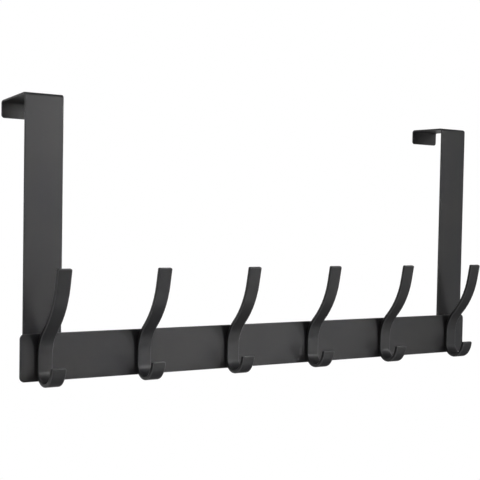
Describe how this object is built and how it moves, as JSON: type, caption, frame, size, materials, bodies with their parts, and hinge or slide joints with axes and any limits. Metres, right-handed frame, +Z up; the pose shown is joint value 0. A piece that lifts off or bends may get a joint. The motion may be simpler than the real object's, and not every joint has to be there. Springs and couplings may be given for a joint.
{
  "type": "over door hook rack",
  "caption": "Over-the-door coat rack: flat rail with a row of bent flat-bar hooks, each with a long upper arm and a small lower curl, hung from folded straps over the door's top.",
  "frame": {"origin": "on the door's top front edge, midway between the straps: straps' backs at Y = 0, underside of the folds at Z = 0", "axes": "+X along the rail to the viewer's right, -Y out into the room, +Z up"},
  "size_m": [0.476, 0.0725, 0.2171],
  "materials": {
    "black_coat": "satin black powder coat on steel"
  },
  "bodies": {
    "root": {"rail": "black_coat", "left_strap": "black_coat", "right_strap": "black_coat", "hook_1": "black_coat", "hook_2": "black_coat", "hook_3": "black_coat", "hook_4": "black_coat", "hook_5": "black_coat", "hook_6": "black_coat"}
  },
  "joints": []
}
